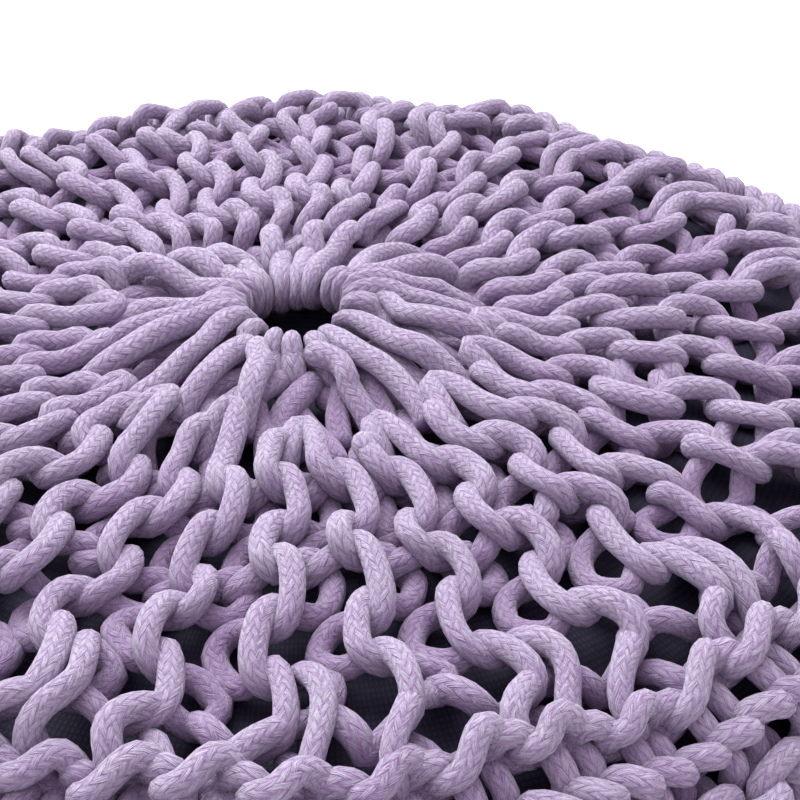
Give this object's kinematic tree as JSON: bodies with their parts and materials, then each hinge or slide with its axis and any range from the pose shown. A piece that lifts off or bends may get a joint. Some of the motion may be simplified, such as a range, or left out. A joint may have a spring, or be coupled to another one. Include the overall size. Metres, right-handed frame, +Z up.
{
  "type": "knitted pouf",
  "caption": "Round floor pouf: a filled dark casing inside a cover hand-knitted from thick braided cotton cord, with a gathered centre, radial ridges on top and ribbed sides.",
  "frame": {"origin": "on the floor under the middle of the pouf", "axes": "+Z up, +Y towards the back of the picture, +X to its right"},
  "size_m": [0.5098, 0.5098, 0.3558],
  "materials": {
    "lilac_cotton": "matt braided cotton cord",
    "navy_cloth": "matt plain-woven cloth"
  },
  "bodies": {
    "root": {"casing": "navy_cloth", "top_panel": "lilac_cotton", "bottom_panel": "lilac_cotton", "side_band": "lilac_cotton", "top_chain": "lilac_cotton", "bottom_chain": "lilac_cotton"}
  },
  "joints": []
}
